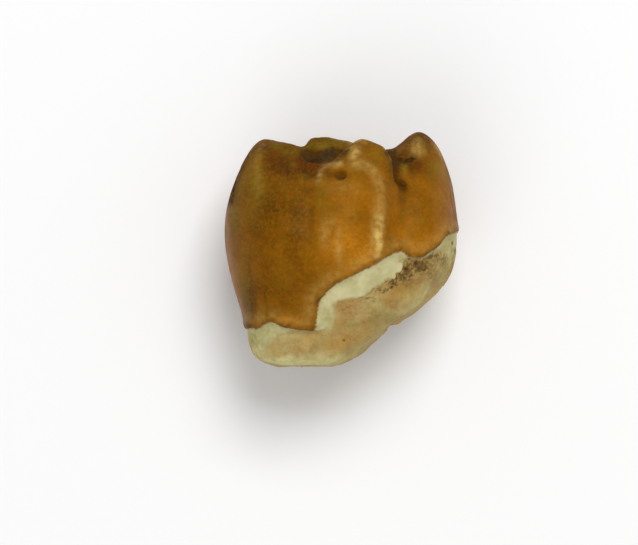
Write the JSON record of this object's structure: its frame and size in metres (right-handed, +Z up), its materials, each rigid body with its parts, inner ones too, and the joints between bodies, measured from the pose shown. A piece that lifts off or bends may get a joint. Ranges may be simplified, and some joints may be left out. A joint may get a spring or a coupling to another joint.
{
  "type": "fossil rodent tooth",
  "caption": "Fossil rodent upper cheek tooth with a worn, cusped biting surface and roots broken off short, lying on its back wall.",
  "frame": {"origin": "on the table, under the middle of the tooth's outline", "axes": "+X from the tongue side to the cheek side, +Y from the broken roots to the biting surface, +Z up from the back wall that it lies on to the front wall"},
  "size_m": [0.0047, 0.0047, 0.0037],
  "materials": {
    "tooth": "polished amber-brown enamel over chalky dentine"
  },
  "bodies": {
    "root": {"tooth": "tooth"}
  },
  "joints": []
}
